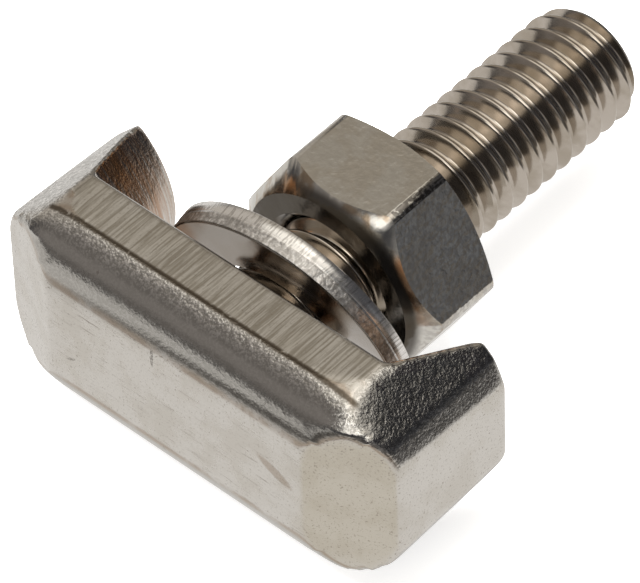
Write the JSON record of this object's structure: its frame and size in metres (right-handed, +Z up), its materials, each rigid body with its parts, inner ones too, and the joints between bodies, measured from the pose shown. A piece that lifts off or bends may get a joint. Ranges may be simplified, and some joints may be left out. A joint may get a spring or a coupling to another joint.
{
  "type": "battery terminal t-bolt",
  "caption": "T-bolt with a forged bar head whose two wedge-nosed ears face a threaded stud, with a loose flat washer and a hex nut on the stud.",
  "frame": {"origin": "centre of the head's flat back face, on the stud's axis", "axes": "+Y along the stud towards its tip, +X along the head, +Z up as the bolt lies on its side"},
  "size_m": [0.0228, 0.0277, 0.0124],
  "materials": {
    "bolt_plating": "bright nickel plate over forged steel, fine pits and scratches, milled lines on the flanks",
    "washer_plating": "bright nickel plate, mirror-like faces, stamped rim half smooth and half torn",
    "nut_plating": "bright nickel plate with a faint orange-peel texture"
  },
  "bodies": {
    "bolt": {"t_bolt": "bolt_plating"},
    "washer": {"flat_washer": "washer_plating"},
    "nut": {"hex_nut": "nut_plating"}
  },
  "joints": [
    {"name": "nut_travel", "type": "slide", "parent": "bolt", "child": "washer", "axis": [0, 1, 0], "range_m": [-0.0008, 0.013]},
    {"name": "nut_turn", "type": "hinge", "parent": "washer", "child": "nut", "pos_m": [0, 0.01225, 0], "axis": [0, 1, 0], "range_deg": [-288, 4680]}
  ],
  "couplings": [
    {"joint": "nut_turn", "follows": "nut_travel", "rad_per_m": 6283.2}
  ]
}
